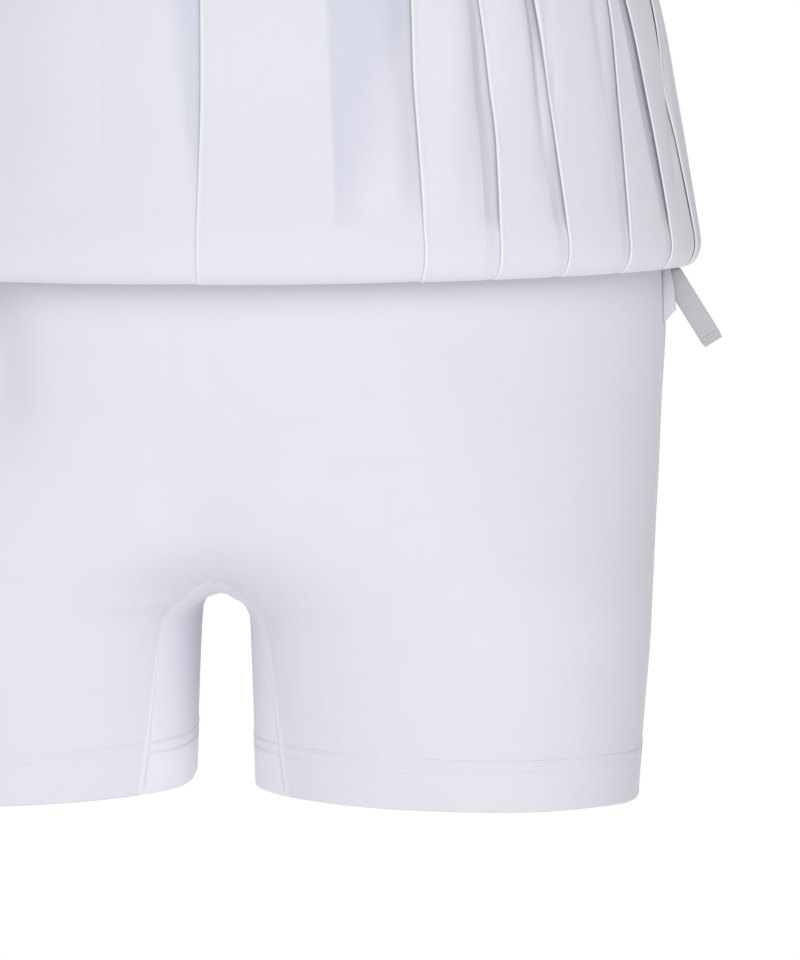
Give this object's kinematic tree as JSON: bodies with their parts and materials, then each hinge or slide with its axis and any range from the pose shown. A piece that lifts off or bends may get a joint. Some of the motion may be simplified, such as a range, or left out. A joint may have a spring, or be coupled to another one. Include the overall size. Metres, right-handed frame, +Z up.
{
  "type": "pleated golf skirt with inner shorts",
  "caption": "White knife-pleated golf skirt with its hem turned under, over fitted inner shorts with a horseshoe gusset; hollow and filled out as worn.",
  "frame": {"origin": "centre of the waist opening, level with the waistband's top edge", "axes": "+Z up, front of the garment towards -Y, +X towards the wearer's left"},
  "size_m": [0.3554, 0.266, 0.365],
  "materials": {
    "woven_white": "matte plain woven stretch polyester, pressed",
    "knit_white": "matte fine stretch knit",
    "tape_grey": "satin woven tape"
  },
  "bodies": {
    "root": {"waistband": "woven_white", "skirt_front": "woven_white", "skirt_back": "woven_white", "shorts_front": "knit_white", "shorts_back": "knit_white", "shorts_gusset": "knit_white", "side_tab": "knit_white", "side_tape": "tape_grey"}
  },
  "joints": []
}
